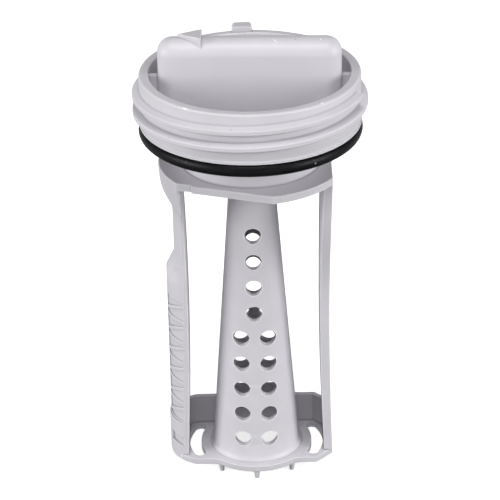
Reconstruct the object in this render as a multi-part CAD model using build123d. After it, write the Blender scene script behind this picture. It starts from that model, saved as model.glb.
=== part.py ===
from build123d import *
import os
from math import cos, radians, sin

# Lint filter of a washing machine's drain pump, in millimetres.
# It stands on the pins under its base plate: Z is the screw axis, X runs from arm to arm,
# the perforated sides of the cone face -Y (front) and +Y (back).

# Heights of the stack, each measured from the piece below
pin_length = 2.6
base_thickness = 1.9
cage_height = 90.5
plate_thickness = 2.2
neck_height = 12.2
flange_thickness = 0.8
cap_height = 13.8
bar_rise = 10.0

# Threaded cap
rim_radius = 31.0
rim_wall = 2.76
rim_edge_round = 0.7
rim_lip_round = 0.4
cap_floor = 2.2
spigot_wall = 1.6
spigot_length = 3.0
spigot_clearance = 0.15

# Thread, right-handed, one start
thread_pitch = 4.85
thread_depth = 2.0
thread_crest_width = 1.3
thread_root_width = 3.1
thread_root_sink = 0.4
thread_crest_round = 0.3
thread_turns = 1.69
thread_top_drop = 3.65
thread_top_angle = -20.0

# Grip bar with its end webs and arrow
bar_length = 51.1
bar_width = 9.2
bar_wall = 2.2
bar_end_round = 4.2
grip_turn = -1.8
web_thickness = 1.8
web_drop = 1.0
arrow_tip = -20.0
arrow_length = 6.8
arrow_width = 7.5
arrow_height = 1.0
arrow_edge_round = 0.2

# Stop tab at the back of the rim
tab_width = 5.8
tab_angle = 93.8
tab_sink = 2.2
tab_proud = 1.7
tab_rise = 1.7
tab_length = 7.0
tab_corner = 1.0
tab_edge_round = 0.3

# Seal ring and the neck that carries it
seal_section = 4.0
seal_clearance = 0.1
seal_proud = 0.3
flange_ledge = 0.2
groove_lip_height = 0.9
groove_lip_depth = 0.5
neck_radius = 19.8
neck_cove = 4.0
neck_wall = 2.2

# Shoulder plate under the neck
plate_radius = 26.4
plate_edge_round = 0.35
front_flat_cut = 3.95
front_flat_angle = -108.7
pad_flat_cut = 5.8
pad_flat_angle = -104.0
pad_end = -16.8

# Side arms
arm_outer = 22.6
arm_thickness = 2.45
arm_outer_bow = 0.8
arm_inner_bow = 1.05
arm_foot_depth = 14.4
arm_neck_depth = 16.6
right_shoulder_depth = 28.0
left_shoulder_depth = 32.0
shoulder_height = 16.0
shoulder_straight = 1.6
lobe_height = 14.6
lobe_straight = 2.6

# Guide rail on the left arm
rail_radius = 12.3
rail_proud = 2.6
rail_height = 62.3
ramp_height = 5.2
panel_bottom = 10.6
panel_pitch = 6.83
panel_cells = 6
panel_rib = 0.9
panel_inset = 1.5
panel_half_depth = 8.0
panel_rise = 3.3
panel_relief = 0.35
foot_height = 10.9
foot_step = 0.4
foot_pocket_height = 3.2
foot_pocket_floor = 3.1

# Perforated cone
cone_top_radius = 6.2
cone_foot_radius = 12.9
cone_wall = 2.0
cone_foot_round = 0.8
hole_diameter = 4.7
hole_pitch = 8.07
hole_foot = 7.1
single_rows = 4
pair_rows = 5
pair_spacing = 7.7

# Base plate, its back wall, slots and pins
disc_radius = 15.95
ear_depth = 22.4
ear_half_length = 17.85
ear_chamfer = 5.0
ear_fillet = 5.0
back_wall_height = 9.2
back_wall_thickness = 1.2
back_wall_start = 4.5
base_edge_round = 0.35
slot_gap = 0.6
slot_width = 3.45
slot_half_angle = 29.0
pin_count = 8
pin_inset = 1.25
pin_root_diameter = 1.9
pin_tip_diameter = 1.4

# Levels and radii worked out from the sizes above
base_bottom = pin_length
base_top = base_bottom + base_thickness
plate_bottom = base_top + cage_height
plate_top = plate_bottom + plate_thickness
flange_bottom = plate_top + neck_height
seam = flange_bottom + flange_thickness
rim_top = seam + cap_height
bar_top = rim_top + bar_rise
rim_bore = rim_radius - rim_wall
floor_top = seam + cap_floor
flange_radius = rim_radius + flange_ledge
seat_radius = flange_radius + seal_proud - seal_section - seal_clearance
neck_bore = seat_radius - neck_wall
arm_inner = arm_outer - arm_thickness
rail_top = base_top + rail_height
rail_centre = rail_radius - rail_proud - arm_outer
foot_radius = rail_radius + foot_step
lobe_tip = rail_centre - foot_radius


def drum(radius, bottom, top):
    """Upright cylinder about Z between two levels."""
    return Pos(0, 0, bottom) * extrude(Circle(radius), amount=top - bottom)


def upright(face, bottom, top):
    """Plan outline pulled up from one level to another."""
    return Pos(0, 0, bottom) * extrude(face, amount=top - bottom)


def turned(outline):
    """Closed outline of (radius, height) turned about Z."""
    return revolve(Plane.XZ * make_face(outline), Axis.Z)


def slab(left, right, front, back, bottom, top):
    """Rectangular block given by its six faces."""
    block = Box(right - left, back - front, top - bottom, align=(Align.MIN, Align.MIN, Align.MIN))
    return Pos(left, front, bottom) * block


def thread_ridge():
    """One swept ridge with sloped flanks, its root sunk into the skirt."""
    rise = thread_pitch * thread_turns
    path = Helix(pitch=thread_pitch, height=rise, radius=rim_radius - thread_root_sink)
    crest = thread_root_sink + thread_depth
    flank = make_face(Polyline(
        (0, -thread_root_width / 2), (crest, -thread_crest_width / 2),
        (crest, thread_crest_width / 2), (0, thread_root_width / 2), close=True,
    ))
    flank = fillet(flank.vertices().group_by(Axis.X)[-1], thread_crest_round)
    profile = Plane(origin=path @ 0, x_dir=(1, 0, 0), z_dir=path % 0) * flank
    ridge = sweep(profile, path=path, is_frenet=True)
    start_angle = thread_top_angle - 360 * thread_turns
    start_level = rim_top - thread_top_drop - rise
    return Pos(0, 0, start_level) * Rot(0, 0, start_angle) * ridge


def grip_bar():
    """Hollow bar with a full-round crown, pressed up out of the cap's floor."""
    def bar(length, width, top):
        straight = top - width / 2
        side = width / 2
        section = Polyline((-side, straight), (-side, seam), (side, seam), (side, straight))
        section += ThreePointArc((side, straight), (0, top), (-side, straight))
        return extrude(Plane.YZ * make_face(section), amount=length / 2, both=True)

    shell = bar(bar_length, bar_width, bar_top)
    ends = shell.faces().filter_by(Axis.X)
    rims = [edge for end in ends for edge in end.edges() if edge.center().Z > seam]
    shell = fillet(rims, bar_end_round)
    core = bar(bar_length - 2 * bar_wall, bar_width - 2 * bar_wall, bar_top - bar_wall)
    return shell, core


def arrow_mark():
    """Raised triangle on the crown that points to the left."""
    root = arrow_tip + arrow_length
    side = arrow_width / 2
    triangle = make_face(Polyline((arrow_tip, 0), (root, -side), (root, side), close=True))
    mark = upright(triangle, bar_top - bar_width / 2, bar_top + arrow_height)
    return fillet(mark.edges().group_by(Axis.Z)[-1], arrow_edge_round)


def stop_tab():
    """Upright tab outside the rim, with rounded top corners."""
    face = RectangleRounded(tab_width, tab_length, tab_corner)
    block = Plane.YZ * extrude(face, amount=tab_sink + tab_proud)
    block = fillet(block.edges().group_by(Axis.X)[-1], tab_edge_round)
    middle = rim_top + tab_rise - tab_length / 2
    return Rot(0, 0, tab_angle) * Pos(rim_radius - tab_sink, 0, middle) * block


def threaded_cap():
    skirt = drum(rim_radius, seam, rim_top) - drum(rim_bore, floor_top, rim_top)
    edge = skirt.edges().group_by(Axis.Z)[-1].sort_by(SortBy.RADIUS)[-1]
    skirt = fillet(edge, rim_edge_round)
    lip = skirt.edges().group_by(Axis.Z)[-1].sort_by(SortBy.RADIUS)[0]
    skirt = fillet(lip, rim_lip_round)
    shell, core = grip_bar()
    web_end = rim_bore + rim_wall / 2
    webs = slab(-web_end, web_end, -web_thickness / 2, web_thickness / 2, floor_top, rim_top - web_drop)
    turn = Rot(0, 0, grip_turn)
    spigot_radius = neck_bore - spigot_clearance
    spigot_end = seam - spigot_length
    spigot = drum(spigot_radius, spigot_end, seam) - drum(spigot_radius - spigot_wall, spigot_end, seam)
    cap = skirt + turn * shell + turn * webs + turn * arrow_mark() + stop_tab() + thread_ridge() + spigot
    return cap - turn * core


def neck():
    """Spool that carries the seal ring, open above and closed below by the plate."""
    shelf = flange_bottom - seal_section - 2 * seal_clearance
    lip_radius = seat_radius + groove_lip_depth
    lip_bottom = shelf - groove_lip_height
    lip_top = shelf - groove_lip_depth / 2
    bore = neck_radius - neck_wall
    bend_radius = neck_radius + neck_cove
    bend_level = lip_bottom - neck_cove
    inner_cove = neck_cove + neck_wall
    inner_top = bend_level + inner_cove
    diagonal = sin(radians(45))
    outer_bend = (bend_radius - neck_cove * diagonal, bend_level + neck_cove * diagonal)
    inner_bend = (bend_radius - inner_cove * diagonal, bend_level + inner_cove * diagonal)
    outline = Polyline((bore, plate_top), (neck_radius, plate_top), (neck_radius, bend_level))
    outline += ThreePointArc((neck_radius, bend_level), outer_bend, (bend_radius, lip_bottom))
    outline += Polyline(
        (bend_radius, lip_bottom), (lip_radius, lip_bottom), (lip_radius, lip_top), (seat_radius, shelf),
        (seat_radius, flange_bottom), (flange_radius, flange_bottom), (flange_radius, seam),
        (neck_bore, seam), (neck_bore, inner_top), (bend_radius, inner_top),
    )
    outline += ThreePointArc((bend_radius, inner_top), inner_bend, (bore, bend_level))
    outline += Line((bore, bend_level), (bore, plate_top))
    return turned(outline)


def beyond(angle, distance):
    """Block that takes away everything further out than a flat at this angle."""
    reach = 2 * plate_radius
    return Rot(0, 0, angle) * slab(distance, distance + reach, -reach, reach, plate_bottom, plate_top)


def shoulder_plate():
    plate = drum(plate_radius, plate_bottom, plate_top)
    plate -= beyond(0, arm_outer)
    plate -= beyond(front_flat_angle, plate_radius - front_flat_cut)
    pad_side = slab(-2 * plate_radius, pad_end, -2 * plate_radius, 0, plate_bottom, plate_top)
    plate -= beyond(pad_flat_angle, plate_radius - pad_flat_cut) & pad_side
    return fillet(plate.edges().group_by(Axis.Z)[-1], plate_edge_round)


def s_bend(low, high):
    """Smooth bend that leaves both of its ends upright."""
    middle = (low[1] + high[1]) / 2
    return Bezier(low, (low[0], middle), (high[0], middle), high)


def arm_depths(shoulder_depth):
    """Side view of an arm: a slim blade that spreads into a shoulder under the plate."""
    neck = (arm_neck_depth / 2, plate_bottom - shoulder_height)
    shoulder = (shoulder_depth / 2, plate_bottom - shoulder_straight)
    near = Polyline((0, base_top), (arm_foot_depth / 2, base_top), neck) + s_bend(neck, shoulder)
    near += Polyline(shoulder, (shoulder_depth / 2, plate_bottom), (0, plate_bottom), (0, base_top))
    half = extrude(Plane.YZ * make_face(near), amount=2 * plate_radius, both=True)
    return half + mirror(half, Plane.XZ)


def blade(outer_edge):
    """Front view of an arm: a wall that bows slightly towards the axis."""
    hollow = (arm_inner - arm_inner_bow, (base_top + plate_bottom) / 2)
    outline = outer_edge + Line((arm_outer, base_top), (arm_inner, base_top))
    outline += ThreePointArc((arm_inner, base_top), hollow, (arm_inner, plate_bottom))
    return extrude(Plane.XZ * make_face(outline), amount=plate_radius, both=True)


def right_arm():
    waist = (arm_outer - arm_outer_bow, (base_top + plate_bottom) / 2)
    edge = Line((arm_inner, plate_bottom), (arm_outer, plate_bottom))
    edge += ThreePointArc((arm_outer, plate_bottom), waist, (arm_outer, base_top))
    return blade(edge) & arm_depths(right_shoulder_depth) & drum(plate_radius, base_top, plate_bottom)


def left_arm():
    """Like the right arm, with a lobe at the top that runs out to the plate's edge."""
    lobe_foot = (arm_outer, plate_bottom - lobe_height)
    lobe_edge = (plate_radius, plate_bottom - lobe_straight)
    waist = (arm_outer - arm_outer_bow, (base_top + plate_bottom - lobe_height) / 2)
    edge = Polyline((arm_inner, plate_bottom), (plate_radius, plate_bottom), lobe_edge)
    edge += s_bend(lobe_foot, lobe_edge)
    edge += ThreePointArc(lobe_foot, waist, (arm_outer, base_top))
    arm = mirror(blade(edge), Plane.YZ)
    return arm & arm_depths(left_shoulder_depth) & drum(plate_radius, base_top, plate_bottom)


def rail_plan(radius):
    """Plan of the guide rail: a round back cut off at the arm's inner face."""
    lobe = Pos(rail_centre, 0) * Circle(radius)
    reach = 2 * plate_radius
    return lobe & (Pos(-arm_inner - reach / 2, 0) * Rectangle(reach, reach))


def rail_pockets():
    """Shallow cells on the rail's round back, split by level and by rising ribs."""
    near = panel_inset
    far = panel_half_depth
    cells = []
    for cell in range(panel_cells):
        foot = panel_bottom + base_top + cell * panel_pitch
        low = foot + panel_rib
        high = foot + panel_pitch
        rib_near = low + (high - low - panel_rise) / 2
        rib_far = rib_near + panel_rise
        half_rib = panel_rib / 2
        cells.append([(near, low), (far, low), (far, rib_far - half_rib), (near, rib_near - half_rib)])
        cells.append([(near, high), (far, high), (far, rib_far + half_rib), (near, rib_near + half_rib)])
    pocket_low = base_top + foot_pocket_floor
    pocket_high = pocket_low + foot_pocket_height
    cells.append([(2 * near, pocket_low), (far, pocket_low), (far, pocket_high), (2 * near, pocket_high)])
    cutters = []
    for corners in cells:
        face = Plane.YZ * make_face(Polyline(*corners, close=True))
        cutter = extrude(face, amount=-2 * plate_radius)
        cutters.append(cutter)
        cutters.append(mirror(cutter, Plane.XZ))
    keep = upright(Pos(rail_centre, 0) * Circle(rail_radius - panel_relief), base_top, plate_bottom)
    return [cutter - keep for cutter in cutters]


def guide_rail():
    """Round-backed rail outside the left arm, with a slanted top and a stepped foot."""
    ramp_foot = rail_top - ramp_height
    rail = upright(rail_plan(rail_radius), base_top, rail_top)
    tip = rail_centre - rail_radius
    outside = 2 * tip
    ramp = Polyline(
        (-arm_outer, rail_top), (tip, ramp_foot), (outside, ramp_foot), (outside, rail_top), close=True,
    )
    rail -= extrude(Plane.XZ * make_face(ramp), amount=plate_radius, both=True)
    rail += upright(rail_plan(foot_radius), base_top, base_top + foot_height)
    return (rail & arm_depths(left_shoulder_depth)) - rail_pockets()


def cone_radius(level):
    """Outer radius of the cone at a level."""
    share = (plate_bottom - level) / cage_height
    return cone_top_radius + share * (cone_foot_radius - cone_top_radius)


def cone():
    """Hollow cone, closed by the plate above and open through the base below."""
    slope = (cone_foot_radius - cone_top_radius) / cage_height
    bottom_bore = cone_radius(base_bottom) - cone_wall
    top_bore = cone_top_radius - cone_wall
    foot = cone_foot_radius
    skirt_top = 2 * cone_foot_round
    shell = turned(Polyline(
        (0, base_top), (foot + cone_foot_round, base_top),
        (foot - slope * skirt_top, base_top + skirt_top),
        (cone_top_radius, plate_bottom), (0, plate_bottom), close=True,
    ))
    bore = turned(Polyline(
        (0, base_bottom), (bottom_bore, base_bottom),
        (top_bore, plate_bottom), (0, plate_bottom), close=True,
    ))
    holes = []
    for row in range(single_rows + pair_rows):
        level = base_top + hole_foot + row * hole_pitch
        offsets = [-pair_spacing / 2, pair_spacing / 2] if row < pair_rows else [0]
        for offset in offsets:
            drill = Plane.XZ * (Pos(offset, level) * Circle(hole_diameter / 2))
            holes.append(extrude(drill, amount=2 * cone_foot_radius, both=True))
    return shell - bore - holes, bore


def base_outline():
    """Plan of the base: a disc with two ears, chamfered on the right and rounded on the left."""
    half = ear_depth / 2
    tip = arm_outer
    ears = Polyline(
        (-ear_half_length, half), (ear_half_length, half), (tip, half - ear_chamfer),
        (tip, ear_chamfer - half), (ear_half_length, -half), (-ear_half_length, -half),
    )
    ears += ThreePointArc((-ear_half_length, -half), (lobe_tip, 0), (-ear_half_length, half))
    plan = make_face(ears) + Circle(disc_radius)
    inner_corners = [v for v in plan.vertices() if abs(abs(v.Y) - half) < 0.01 and abs(v.X) < disc_radius]
    return fillet(inner_corners, ear_fillet)


def slot(side):
    """Curved slot through the base beside one arm, with round ends."""
    inner = disc_radius + slot_gap
    outer = inner + slot_width
    middle = (inner + outer) / 2
    ring = Circle(outer) - Circle(inner)
    reach = 2 * outer
    end = radians(slot_half_angle) - slot_width / 2 / middle
    far_x = reach * cos(end)
    far_y = reach * sin(end)
    plan = ring & make_face(Polyline((0, 0), (far_x, -far_y), (far_x, far_y), close=True))
    for sign in (-1, 1):
        plan += Pos(middle * cos(end), sign * middle * sin(end)) * Circle(slot_width / 2)
    return upright(Rot(0, 0, 0 if side > 0 else 180) * plan, base_bottom, base_top)


def base():
    """Base plate with its back wall, slots and pins."""
    plan = base_outline()
    plate = upright(plan, base_bottom, base_top)
    plate = fillet(plate.edges().group_by(Axis.Z)[0], base_edge_round)
    rim = plan - offset(plan, amount=-back_wall_thickness)
    reach = 2 * plate_radius
    behind = Pos(0, reach / 2 + back_wall_start) * Rectangle(2 * reach, reach)
    plate += upright(rim & behind, base_top, base_top + back_wall_height)
    for side in (-1, 1):
        plate -= slot(side)
    pin = Cone(pin_tip_diameter / 2, pin_root_diameter / 2, pin_length)
    pin = Pos(disc_radius - pin_inset, 0, pin_length / 2) * pin
    for index in range(pin_count):
        plate += Rot(0, 0, 360 * index / pin_count) * pin
    return plate


def strainer():
    shell, bore = cone()
    cage = neck() + shoulder_plate() + right_arm() + left_arm() + guide_rail() + base()
    return cage - bore + shell


def seal_ring():
    ring_radius = seat_radius + seal_clearance + seal_section / 2
    level = flange_bottom - seal_clearance - seal_section / 2
    return Pos(0, 0, level) * Torus(ring_radius, seal_section / 2)


os.makedirs("parts", exist_ok=True)
export_step(threaded_cap(), "parts/threaded_cap.step")
export_step(strainer(), "parts/strainer.step")
export_step(seal_ring(), "parts/seal_ring.step")
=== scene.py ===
# %% [markdown]
# # Lint filter of a drain pump
# The filter is two grey mouldings and a rubber ring. The cap screws into the pump with a coarse thread, the
# strainer hangs under it, and the ring seals the gap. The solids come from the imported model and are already
# true in form, apart from the arms. So this lesson is mostly about what makes them look moulded: soft edges, an
# even satin skin, the small marks that a mould leaves, and light that shows the form.

# %% Load the solids as a fixed frame
import math

import bmesh
import bpy
from mathutils import Matrix, Vector


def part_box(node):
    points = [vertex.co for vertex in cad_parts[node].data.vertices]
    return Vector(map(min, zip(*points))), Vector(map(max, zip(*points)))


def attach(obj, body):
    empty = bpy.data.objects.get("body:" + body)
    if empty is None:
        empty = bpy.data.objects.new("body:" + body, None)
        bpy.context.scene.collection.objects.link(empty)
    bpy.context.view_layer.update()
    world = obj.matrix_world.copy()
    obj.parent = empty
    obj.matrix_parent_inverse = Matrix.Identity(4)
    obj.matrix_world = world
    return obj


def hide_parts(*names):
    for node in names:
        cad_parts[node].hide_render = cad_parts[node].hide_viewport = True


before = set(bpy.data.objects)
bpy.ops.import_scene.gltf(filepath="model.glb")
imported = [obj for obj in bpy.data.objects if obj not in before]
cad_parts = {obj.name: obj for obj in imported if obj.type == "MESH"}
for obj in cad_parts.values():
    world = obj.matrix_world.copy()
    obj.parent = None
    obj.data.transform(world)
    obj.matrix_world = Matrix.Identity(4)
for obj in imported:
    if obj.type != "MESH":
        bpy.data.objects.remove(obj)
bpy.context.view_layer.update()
MM = 0.001

# %% [markdown]
# ## Colour
# Product photographs are shown with a plain display curve. A film-like curve would grey the white floor and
# flatten the plastic, so the plain one is chosen.

# %% Set the display curve
scene = bpy.context.scene
scene.view_settings.view_transform = "Standard"
scene.view_settings.look = "None"
print("display curve:", scene.view_settings.view_transform)

# %% [markdown]
# ## Moulded grey plastic
# The cap and the strainer are the same light grey plastic with a trace of violet. Its skin is satin: the mould
# steel was eroded, not polished. A cloudy noise moves the grey by a hair, a second one moves the gloss, and a
# very fine grain gives the bump. All of it reads Object coordinates, so it stays on the piece.

# %% Noises for a skin
def grain(nodes, links, scale, detail):
    """Noise on Object coordinates at a given scale per metre."""
    place = nodes.new("ShaderNodeTexCoord")
    noise = nodes.new("ShaderNodeTexNoise")
    noise.inputs["Scale"].default_value = scale
    noise.inputs["Detail"].default_value = detail
    links.new(place.outputs["Object"], noise.inputs["Vector"])
    return noise.outputs["Fac"]


def ramp_of(nodes, links, source, low, high):
    """Two-colour ramp driven by the middle part of a noise."""
    ramp = nodes.new("ShaderNodeValToRGB")
    ramp.color_ramp.elements[0].position = 0.35
    ramp.color_ramp.elements[0].color = low
    ramp.color_ramp.elements[1].position = 0.65
    ramp.color_ramp.elements[1].color = high
    links.new(source, ramp.inputs["Fac"])
    return ramp.outputs["Color"]


def range_of(nodes, links, source, from_low, from_high, to_low, to_high):
    """One range of plain numbers mapped to another."""
    spread = nodes.new("ShaderNodeMapRange")
    spread.inputs["From Min"].default_value = from_low
    spread.inputs["From Max"].default_value = from_high
    spread.inputs["To Min"].default_value = to_low
    spread.inputs["To Max"].default_value = to_high
    links.new(source, spread.inputs["Value"])
    return spread.outputs["Result"]


# %% [markdown]
# ## Edges and grooves
# A mould has no sharp corners: every edge is broken by a tenth or two of a millimetre. A Bevel node bends the
# normals there, so the edge catches the light without a single extra face. The outer edges also get a painted
# highlight, paler than the grey, and the inner corners get painted shade. Ambient Occlusion finds both: looking
# inwards it sees the outer edges, looking outwards it sees the grooves.

# %% Tell edges from grooves
nook_samples = 8
edge_samples = 6
grain_depth = 0.05 * MM


def closeness(nodes, links, reach, inwards):
    """Nought on open faces, one right at an outer edge (inwards) or in a groove."""
    nook = nodes.new("ShaderNodeAmbientOcclusion")
    nook.samples = nook_samples
    nook.inside = inwards
    nook.only_local = True
    nook.inputs["Distance"].default_value = reach
    return range_of(nodes, links, nook.outputs["AO"], 1.0, 0.5, 0.0, 1.0)


def tint(nodes, links, colour, mask, shade):
    """Colour mixed towards a shade where a mask is set."""
    mix = nodes.new("ShaderNodeMix")
    mix.data_type = "RGBA"
    links.new(mask, mix.inputs["Factor"])
    links.new(colour, mix.inputs["A"])
    mix.inputs["B"].default_value = shade
    return mix.outputs["Result"]


# %% Satin skin and tints
def skin(name, low, high, gloss, cloud, fine, bump_strength, edge_round):
    """Satin skin whose colour, gloss and bump come from noises of three sizes, with softened edges."""
    material = bpy.data.materials.new(name)
    material.use_nodes = True
    nodes = material.node_tree.nodes
    links = material.node_tree.links
    shader = nodes["Principled BSDF"]
    colour = ramp_of(nodes, links, grain(nodes, links, cloud, 3.0), low, high)
    links.new(colour, shader.inputs["Base Color"])
    uneven = range_of(nodes, links, grain(nodes, links, cloud * 6, 4.0), 0.3, 0.7, *gloss)
    links.new(uneven, shader.inputs["Roughness"])
    bump = nodes.new("ShaderNodeBump")
    bump.inputs["Strength"].default_value = bump_strength
    bump.inputs["Distance"].default_value = grain_depth
    links.new(grain(nodes, links, fine, 2.0), bump.inputs["Height"])
    soft_edge = nodes.new("ShaderNodeBevel")
    soft_edge.samples = edge_samples
    soft_edge.inputs["Radius"].default_value = edge_round
    links.new(soft_edge.outputs["Normal"], bump.inputs["Normal"])
    links.new(bump.outputs["Normal"], shader.inputs["Normal"])
    return material


def add_tint(material, mask_of, shade):
    """Put one more tint between the colours so far and the shader."""
    nodes = material.node_tree.nodes
    links = material.node_tree.links
    target = nodes["Principled BSDF"].inputs["Base Color"]
    so_far = target.links[0].from_socket
    links.new(tint(nodes, links, so_far, mask_of(nodes, links), shade), target)


# %% Plastic material
grey_plastic = skin(
    "grey_plastic", low=(0.600, 0.586, 0.621, 1), high=(0.618, 0.604, 0.640, 1), gloss=(0.40, 0.50),
    cloud=90, fine=4200, bump_strength=0.06, edge_round=0.18 * MM)
painted_edge_highlight = (0.80, 0.79, 0.82, 1)
painted_groove_shade = (0.36, 0.35, 0.38, 1)
edge_reach = 0.35 * MM
groove_reach = 0.8 * MM
# Painted highlight: the outer edges are mixed towards a paler grey.
add_tint(grey_plastic, lambda nodes, links: closeness(nodes, links, edge_reach, True), painted_edge_highlight)
# Painted shade: grooves and inner corners are mixed towards a darker grey.
add_tint(grey_plastic, lambda nodes, links: closeness(nodes, links, groove_reach, False), painted_groove_shade)
print("plastic nodes:", len(grey_plastic.node_tree.nodes))

# %% [markdown]
# ## Small marks
# A used moulding carries a few marks of its own: a scratch and two chips on the bar's crown, nicks on the rim
# and the two hairlines on the plate where slides of the mould met. Each is an ellipsoid in the solid's
# coordinates: a Mapping node squeezes it to a unit ball, and the distance from its middle gives a soft spot.

# %% A soft spot
def spot(centre, turn, half_sizes):
    """Mask of a small ellipsoid, its place and half sizes in mm and its turn in degrees."""
    def build(nodes, links):
        place = nodes.new("ShaderNodeTexCoord")
        squeeze = nodes.new("ShaderNodeMapping")
        squeeze.vector_type = "TEXTURE"
        squeeze.inputs["Location"].default_value = Vector(centre) * MM
        squeeze.inputs["Rotation"].default_value = [math.radians(angle) for angle in turn]
        squeeze.inputs["Scale"].default_value = Vector(half_sizes) * MM
        links.new(place.outputs["Object"], squeeze.inputs["Vector"])
        away = nodes.new("ShaderNodeVectorMath")
        away.operation = "LENGTH"
        links.new(squeeze.outputs["Vector"], away.inputs[0])
        return range_of(nodes, links, away.outputs["Value"], 0.5, 1.0, 1.0, 0.0)
    return build


def around(radius, angle, level):
    """Point at a radius and an angle about the axis, in mm and degrees."""
    return (radius * math.cos(math.radians(angle)), radius * math.sin(math.radians(angle)), level)


# %% Marks on the plastic
white_nick = (0.95, 0.95, 0.97, 1)
grey_speck = (0.30, 0.29, 0.31, 1)
hairline = (0.70, 0.69, 0.72, 1)
rim_top = 124.0
plate_top = 97.2
unturned = (0, 0, 0)
crown_scratch = spot((7.1, -2.2, 133.5), (0, 22, -46), (1.15, 0.16, 0.5))
scratch_tail = spot((6.8, -3.2, 132.9), (0, 30, -46), (0.7, 0.14, 0.5))
crown_chip = spot((19.7, -2.1, 133.75), unturned, (0.3, 0.3, 0.4))
crown_speck = spot((12.7, -1.8, 133.8), unturned, (0.25, 0.25, 0.4))
right_rim_nick = spot(around(30.5, -50.8, rim_top), (0, 0, 39), (0.7, 0.3, 0.3))
left_rim_nick = spot(around(30.8, -124.7, rim_top - 0.2), (0, 0, -35), (0.9, 0.25, 0.25))
thread_speck = spot(around(32.3, -99.6, 120.2), unturned, (0.25, 0.25, 0.3))
add_tint(grey_plastic, crown_scratch, white_nick)
add_tint(grey_plastic, scratch_tail, hairline)
add_tint(grey_plastic, crown_chip, white_nick)
add_tint(grey_plastic, crown_speck, grey_speck)
add_tint(grey_plastic, right_rim_nick, white_nick)
add_tint(grey_plastic, left_rim_nick, white_nick)
add_tint(grey_plastic, thread_speck, grey_speck)
for angle in (-134.4, -47.7):
    slide_line = spot(around(22.4, angle, plate_top), (0, 0, angle), (2.4, 0.12, 0.5))
    add_tint(grey_plastic, slide_line, hairline)
print("plastic nodes with marks:", len(grey_plastic.node_tree.nodes))

# %% [markdown]
# ## Black rubber
# The ring is smooth nitrile rubber. It is almost black, its gloss is uneven because it was handled, and a
# little pale dust sits on it. Rubber mirrors less than plastic, so its specular level is low.

# %% Rubber material
black_rubber = skin(
    "black_rubber", low=(0.0035, 0.0033, 0.0045, 1), high=(0.0075, 0.007, 0.009, 1), gloss=(0.34, 0.48),
    cloud=160, fine=6000, bump_strength=0.10, edge_round=0.05 * MM)
black_rubber.node_tree.nodes["Principled BSDF"].inputs["Specular IOR Level"].default_value = 0.14
dust = (0.10, 0.095, 0.10, 1)
pale_dust = (0.35, 0.35, 0.36, 1)
dust_scale = 1500


def dust_mask(nodes, links):
    """Scattered grains where a fine noise peaks."""
    return range_of(nodes, links, grain(nodes, links, dust_scale, 2.0), 0.70, 0.80, 0.0, 0.7)


add_tint(black_rubber, dust_mask, dust)
add_tint(black_rubber, spot(around(31.5, -56.5, 107.3), unturned, (0.3, 0.3, 0.3)), pale_dust)
print("rubber nodes:", len(black_rubber.node_tree.nodes))

# %% [markdown]
# ## The two mouldings
# Each solid arrives as loose triangles with normals of their own. A copy is merged into one skin, the old
# normals are dropped, and smooth shading is split again only where faces meet at more than 30 degrees. Weighted
# normals then keep the large flat faces flat beside the small rounds.

# %% Merge a copy of a solid
def merged_skin(node):
    """Copy of a solid's triangles, joined into one closed skin."""
    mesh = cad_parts[node].data.copy()
    if "custom_normal" in mesh.attributes:
        mesh.attributes.remove(mesh.attributes["custom_normal"])
    shape = bmesh.new()
    shape.from_mesh(mesh)
    bmesh.ops.remove_doubles(shape, verts=shape.verts, dist=0.002 * MM)
    open_edges = sum(not edge.is_manifold for edge in shape.edges)
    print(node, "faces", len(shape.faces), "open edges", open_edges)
    return shape, mesh


def make_piece(shape, mesh, name):
    """Object with smooth faces from a finished shape."""
    for face in shape.faces:
        face.smooth = True
    shape.to_mesh(mesh)
    shape.free()
    mesh.name = name
    piece = bpy.data.objects.new(name, mesh)
    scene.collection.objects.link(piece)
    return piece


strainer_shape, strainer_mesh = merged_skin("strainer")
cap_shape, cap_mesh = merged_skin("threaded_cap")

# %% [markdown]
# ## Side arms
# The back of the left arm is round in plan and sweeps out to the plate in one curve, its front is only a narrow
# strip, and a scoop runs into the top of its rail. The right arm grows deeper over its upper half. The solid's
# arms are a little slimmer and turn into the plate faster. So the copy's arms are cut into slices with
# bisect_plane, to have vertices to bend, and each vertex keeps its share of the way from the inner face to the
# back while the depth and the back take their new form. All sizes here are in mm, and each depth is half of the
# arm's full depth from front to back.

# %% Arms of the solid
arm_foot = 4.5
arm_neck = 79.0
arm_top = 95.0
inner_at_ends = 20.15
inner_bow = 1.05
foot_depth = 7.2
neck_gain = 1.1
left_shoulder = 7.7
right_shoulder = 5.7
shoulder_top = 93.4
flat_outer = 22.6
flat_bow = 0.8
lobe_foot = 80.4
lobe_top = 92.4
plate_radius = 26.4
rail_middle = 12.9
rail_radius = 12.3
rail_top = 66.8
bend_steps = 12


def s_bend(level, low, high):
    """Share from nought to one of a bend whose ends stand upright."""
    share = min(max((level - low) / (high - low), 0.0), 1.0)
    t = share
    for _ in range(bend_steps):
        t -= (0.5 + 0.5 * (t ** 3 - (1 - t) ** 3) - share) / (1.5 * (t ** 2 + (1 - t) ** 2))
    return t * t * (3 - 2 * t)


def bowed(level, low, high, edge, bow):
    """Value that dips by a bow halfway between two levels."""
    off = (2 * level - low - high) / (high - low)
    return edge - bow * (1 - off * off)


def inner_face(level):
    """Distance of an arm's inner face from the axis plane."""
    return bowed(level, arm_foot, arm_top, inner_at_ends, inner_bow)


def way_up(level, height):
    """Share of a height above the arm's foot, one at most."""
    return min((level - arm_foot) / height, 1.0)


def solid_depth(side, level):
    """Depth of the solid's left (-1) or right (1) arm."""
    shoulder = left_shoulder if side < 0 else right_shoulder
    slim = foot_depth + neck_gain * way_up(level, arm_neck - arm_foot)
    return slim + shoulder * s_bend(level, arm_neck, shoulder_top)


def round_back(radius, middle, depth):
    """Distance from the axis plane of a back that is round in plan."""
    return middle + math.sqrt(max(radius ** 2 - depth ** 2, 0.0))


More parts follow.
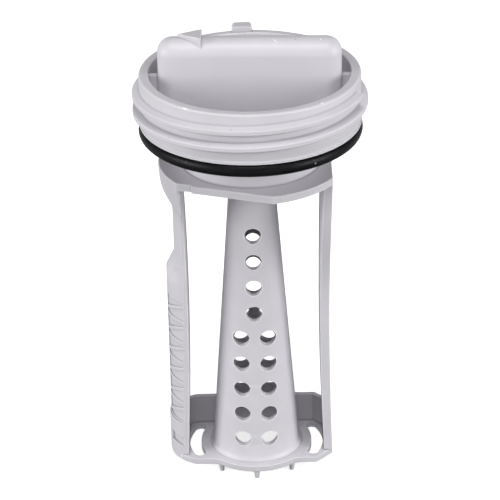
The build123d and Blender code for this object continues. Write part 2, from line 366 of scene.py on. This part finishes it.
def solid_back(depth, level):
    """Distance of the solid's left back from the axis plane."""
    if level < rail_top:
        return round_back(rail_radius, rail_middle, depth)
    flat = bowed(level, arm_foot, lobe_foot, flat_outer, flat_bow) if level < lobe_foot else flat_outer
    flat += (plate_radius - flat_outer) * s_bend(level, lobe_foot, lobe_top)
    return min(flat, round_back(plate_radius, 0.0, depth))


print("solid's left arm, depth at neck and top:", solid_depth(-1, arm_neck), solid_depth(-1, arm_top))

# %% Arms of the real filter
left_foot_depth = 8.6
left_neck_gain = 1.7
left_lobe_gain = 5.7
left_lobe_foot = 80.5
left_lobe_top = 92.8
right_foot_depth = 7.2
right_gain = 0.8
right_gain_height = 45.0
right_lobe_gain = 6.0
right_lobe_foot = 50.0
arm_round = 22.8
sweep_foot = 81.0
rail_lift = 2.2
lift_foot = 55.0
lift_full = 61.0
lift_end = 67.0
scoop_depth = 1.5
scoop_level = 66.0
scoop_middle = 5.4
scoop_half_width = 4.4
scoop_half_length = 5.0
scoop_floor = 0.4


def real_depth(side, level):
    """Depth of the real left (-1) or right (1) arm."""
    if side < 0:
        slim = left_foot_depth + left_neck_gain * way_up(level, arm_neck - arm_foot)
        return slim + left_lobe_gain * s_bend(level, left_lobe_foot, left_lobe_top)
    slim = right_foot_depth + right_gain * way_up(level, right_gain_height)
    return slim + right_lobe_gain * s_bend(level, right_lobe_foot, arm_top)


def scoop(depth, level):
    """Hollow beside the rail's top, with a round lower end."""
    below = min(level - scoop_level, 0.0)
    away = math.hypot((abs(depth) - scoop_middle) / scoop_half_width, below / scoop_half_length)
    return scoop_depth * (1 - s_bend(away, scoop_floor, 1.0))


def real_level(level):
    """Level on the real left arm, whose rail reaches a little higher."""
    return level + rail_lift * (s_bend(level, lift_foot, lift_full) - s_bend(level, lift_end, lobe_foot))


def real_back(depth, level):
    """Distance of the real, round left back from the axis plane."""
    radius = arm_round + (plate_radius - arm_round) * s_bend(level, sweep_foot, arm_top)
    arm_back = round_back(radius, 0.0, depth)
    if level >= real_level(rail_top):
        return arm_back
    rail_back = round_back(rail_radius, rail_middle, depth)
    return max(rail_back - scoop(depth, level), min(rail_back, arm_back))


print("real left arm, depth at neck and top:", real_depth(-1, arm_neck), real_depth(-1, arm_top))

# %% Slice and bend the arms
level_slack = 0.01
face_slack = 0.05
depth_slack = 0.03
cut_slack = 0.0005 * MM
thinnest_wall = 0.2


def in_arm(side, point):
    """True for a point in mm that belongs to an arm or to the rail on it."""
    level = point.z
    at_level = arm_foot - level_slack <= level <= arm_top + level_slack
    outside = at_level and side * point.x > inner_face(level) - face_slack
    return outside and abs(point.y) < solid_depth(side, level) + depth_slack


def slice_arm(shape, side, levels, depths):
    """Cut an arm's faces at levels and at depths."""
    faces = [face for face in shape.faces if all(in_arm(side, vert.co / MM) for vert in face.verts)]
    cuts = [(Vector((0, 0, level * MM)), (0, 0, 1)) for level in levels]
    cuts += [(Vector((0, depth * MM, 0)), (0, 1, 0)) for depth in depths]
    for place, across in cuts:
        edges = list(dict.fromkeys(edge for face in faces for edge in face.edges))
        verts = list(dict.fromkeys(vert for face in faces for vert in face.verts))
        cut = bmesh.ops.bisect_plane(
            shape, geom=faces + edges + verts, dist=cut_slack, plane_co=place, plane_no=across)
        faces = [item for item in cut["geom"] if isinstance(item, bmesh.types.BMFace)]
    return len(faces)


def bend_arm(shape, side):
    """Move an arm's vertices to the real depth, and on the left to the round back."""
    points = [vert for vert in shape.verts if in_arm(side, vert.co / MM)]
    for vert in points:
        across, depth, level = vert.co / MM
        new_level = real_level(level) if side < 0 else level
        new_depth = depth * real_depth(side, new_level) / solid_depth(side, level)
        if side < 0:
            inner = inner_face(level)
            share = (-across - inner) / (solid_back(depth, level) - inner)
            new_inner = inner_face(new_level)
            back = max(real_back(new_depth, new_level), new_inner + thinnest_wall)
            across = -new_inner - share * (back - new_inner)
        vert.co = Vector((across, new_depth, new_level)) * MM
    return len(points)


left_levels = list(range(20, 56, 6)) + list(range(56, 67)) + list(range(68, 95, 2))
left_depths = range(-14, 15)
right_levels = range(8, 95, 3)
print("left faces", slice_arm(strainer_shape, -1, left_levels, left_depths))
print("right faces", slice_arm(strainer_shape, 1, right_levels, []))
print("moved", bend_arm(strainer_shape, -1), bend_arm(strainer_shape, 1))

# %% Dress the two mouldings
def dress(piece, node, material):
    """Give a piece its finish and let it stand for its solid."""
    piece.data.materials.clear()
    piece.data.materials.append(material)
    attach(piece, "root")
    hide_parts(node)


sharp_angle = math.radians(30)
strainer = make_piece(strainer_shape, strainer_mesh, "strainer_moulding")
dress(strainer, "strainer", grey_plastic)
cap = make_piece(cap_shape, cap_mesh, "cap_moulding")
dress(cap, "threaded_cap", grey_plastic)
for piece in (strainer, cap):
    even = piece.modifiers.new("even_normals", "WEIGHTED_NORMAL")
    even.keep_sharp = True
    piece.data.set_sharp_from_angle(angle=sharp_angle)
    print(piece.name, "polygons", len(piece.data.polygons))

# %% [markdown]
# ## Seal ring
# An O-ring is a round section spun about the axis. A spin keeps the section truly round and the ring evenly
# divided, which a copy of the solid's triangles is not.

# %% Spin the ring
low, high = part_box("seal_ring")
section_radius = (high[2] - low[2]) / 2
ring_radius = (high[0] - low[0]) / 2 - section_radius
ring_level = (high[2] + low[2]) / 2
section_corners = 40
ring_steps = 240
ring_shape = bmesh.new()
section = bmesh.ops.create_circle(
    ring_shape, cap_ends=False, segments=section_corners, radius=section_radius,
    matrix=Matrix.Translation((ring_radius, 0, ring_level)) @ Matrix.Rotation(math.pi / 2, 4, "X"))
bmesh.ops.spin(
    ring_shape, geom=section["verts"] + list(ring_shape.edges), cent=(0, 0, 0), axis=(0, 0, 1),
    angle=math.tau, steps=ring_steps, use_merge=True)
bmesh.ops.remove_doubles(ring_shape, verts=ring_shape.verts, dist=0.001 * MM)
bmesh.ops.recalc_face_normals(ring_shape, faces=ring_shape.faces)
ring = make_piece(ring_shape, bpy.data.meshes.new("seal_ring_rubber"), "seal_ring_rubber")
dress(ring, "seal_ring", black_rubber)
print("ring faces", len(ring.data.polygons))

# %% [markdown]
# ## Floor
# The filter stands in a plain white room without a ceiling. The floor glows a little, so it stays white, but it
# is hidden from bounced rays and throws no shadow: the sky, which comes after it, fills in more evenly.

# %% White room
room_size = 3.0
floor_shape = bmesh.new()
bmesh.ops.create_grid(floor_shape, x_segments=1, y_segments=1, size=room_size)
walls = bmesh.ops.extrude_edge_only(floor_shape, edges=list(floor_shape.edges))
raised = [item for item in walls["geom"] if isinstance(item, bmesh.types.BMVert)]
bmesh.ops.translate(floor_shape, verts=raised, vec=(0, 0, room_size))
floor_mesh = bpy.data.meshes.new("floor")
floor_shape.to_mesh(floor_mesh)
floor_shape.free()
floor = bpy.data.objects.new("floor", floor_mesh)
scene.collection.objects.link(floor)
floor.visible_diffuse = False
floor.visible_glossy = False
floor.visible_shadow = False
floor_paint = bpy.data.materials.new("pale_floor")
floor_paint.use_nodes = True
paint = floor_paint.node_tree.nodes["Principled BSDF"]
paint.inputs["Base Color"].default_value = (0.9, 0.9, 0.9, 1)
paint.inputs["Roughness"].default_value = 0.9
paint.inputs["Emission Color"].default_value = (1, 1, 1, 1)
paint.inputs["Emission Strength"].default_value = 0.7
floor_mesh.materials.append(floor_paint)
print("room faces", len(floor_mesh.polygons))

# %% [markdown]
# ## Light
# Two equal softboxes stand far out to the sides, a little above, and a weaker one looks down steeply from the
# front. The arms and the plate then shade the back wall and the inside of the cage, as on the real thing. A sky
# that is brightest low down fills the shadows as a white table would.

# %% Softboxes
light_distance = 1.2


def softbox(name, side_angle, height_angle, size, power):
    """Area light that looks at the middle of the filter."""
    middle = Vector((0, 0, 70 * MM))
    lamp = bpy.data.lights.new(name, "AREA")
    lamp.shape = "SQUARE"
    lamp.size = size
    lamp.energy = power
    light = bpy.data.objects.new(name, lamp)
    turn = math.radians(side_angle)
    rise = math.radians(height_angle)
    toward = Vector((math.sin(turn) * math.cos(rise), -math.cos(turn) * math.cos(rise), math.sin(rise)))
    light.location = middle + toward * light_distance
    light.rotation_euler = toward.to_track_quat("Z", "Y").to_euler()
    scene.collection.objects.link(light)
    return light


softboxes = [
    softbox("right_softbox", side_angle=64, height_angle=15, size=0.6, power=10.2),
    softbox("left_softbox", side_angle=-66, height_angle=15, size=0.6, power=10.2),
    softbox("top_softbox", side_angle=0, height_angle=66, size=0.4, power=6.4)]
print("softboxes:", [light.name for light in softboxes])

# %% Sky that fills the shadows
straight_down = (0.05, 0.05, 0.05, 1)
below_horizon = (0.56, 0.56, 0.56, 1)
overhead = (0.12, 0.12, 0.12, 1)
world = bpy.data.worlds.new("studio")
world.use_nodes = True
sky_nodes = world.node_tree.nodes
sky_links = world.node_tree.links
direction = sky_nodes.new("ShaderNodeTexCoord")
height = sky_nodes.new("ShaderNodeSeparateXYZ")
sky_links.new(direction.outputs["Generated"], height.inputs["Vector"])
share_up = range_of(sky_nodes, sky_links, height.outputs["Z"], -1.0, 1.0, 0.0, 1.0)
fill = sky_nodes.new("ShaderNodeValToRGB")
fill.color_ramp.elements[0].position = 0.08
fill.color_ramp.elements[0].color = straight_down
fill.color_ramp.elements[1].position = 0.65
fill.color_ramp.elements[1].color = overhead
for place in (0.3, 0.45):
    step = fill.color_ramp.elements.new(place)
    step.color = below_horizon
sky_links.new(share_up, fill.inputs["Fac"])
sky_links.new(fill.outputs["Color"], sky_nodes["Background"].inputs["Strength"])
sky_nodes["Background"].inputs["Color"].default_value = (1, 1, 1, 1)
scene.world = world
print("sky steps:", len(fill.color_ramp.elements))

# %% [markdown]
# ## Camera
# The camera looks down on the filter from the front with a long lens, so the cap and the base keep nearly the
# same scale. A slight roll and yaw follow how the real camera was held.

# %% Camera
camera_place = Vector((0, -601.2, 373.8)) * MM
camera_pitch = math.radians(26.958)
camera_roll = math.radians(-1.09)
camera_yaw = math.radians(0.082)
lens = bpy.data.cameras.new("camera")
lens.sensor_width = 36
lens.lens = 168.3
camera = bpy.data.objects.new("camera", lens)
camera.matrix_world = (
    Matrix.Translation(camera_place) @ Matrix.Rotation(camera_yaw, 4, "Z")
    @ Matrix.Rotation(math.pi / 2 - camera_pitch, 4, "X") @ Matrix.Rotation(camera_roll, 4, "Z"))
scene.collection.objects.link(camera)
scene.camera = camera
print("camera at", tuple(camera_place))
